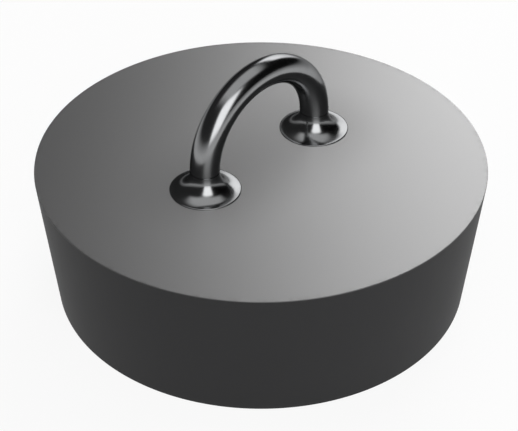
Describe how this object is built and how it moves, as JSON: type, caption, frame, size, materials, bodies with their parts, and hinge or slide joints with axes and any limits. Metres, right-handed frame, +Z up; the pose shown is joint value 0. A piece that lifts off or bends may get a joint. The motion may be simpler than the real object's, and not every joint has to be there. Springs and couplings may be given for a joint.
{
  "type": "drain stopper",
  "caption": "Tapered round rubber drain plug with a flat top, a hollow underside and a half-round chromed pull loop on flared collars.",
  "frame": {"origin": "centre of the base, in the plane that the rubber rim rests on", "axes": "+Z up the plug's axis towards the loop, +X along the plane of the loop from the left leg to the right"},
  "size_m": [0.046, 0.046, 0.0262],
  "materials": {
    "body_rubber": "moulded dark grey rubber, satin",
    "chrome_plate": "polished chrome plate",
    "seal_rubber": "black nitrile rubber",
    "sleeve_brass": "plain drawn brass tube",
    "stainless": "bright stainless steel"
  },
  "bodies": {
    "root": {"stopper_body": "body_rubber", "pull_loop": "chrome_plate", "collar_left": "chrome_plate", "collar_right": "chrome_plate", "seal_ring_left": "seal_rubber", "seal_ring_right": "seal_rubber", "spacer_sleeve_left": "sleeve_brass", "spacer_sleeve_right": "sleeve_brass", "backing_plate": "stainless", "lock_washer_left": "stainless", "lock_washer_right": "stainless", "nut_left": "stainless", "nut_right": "stainless"}
  },
  "joints": []
}
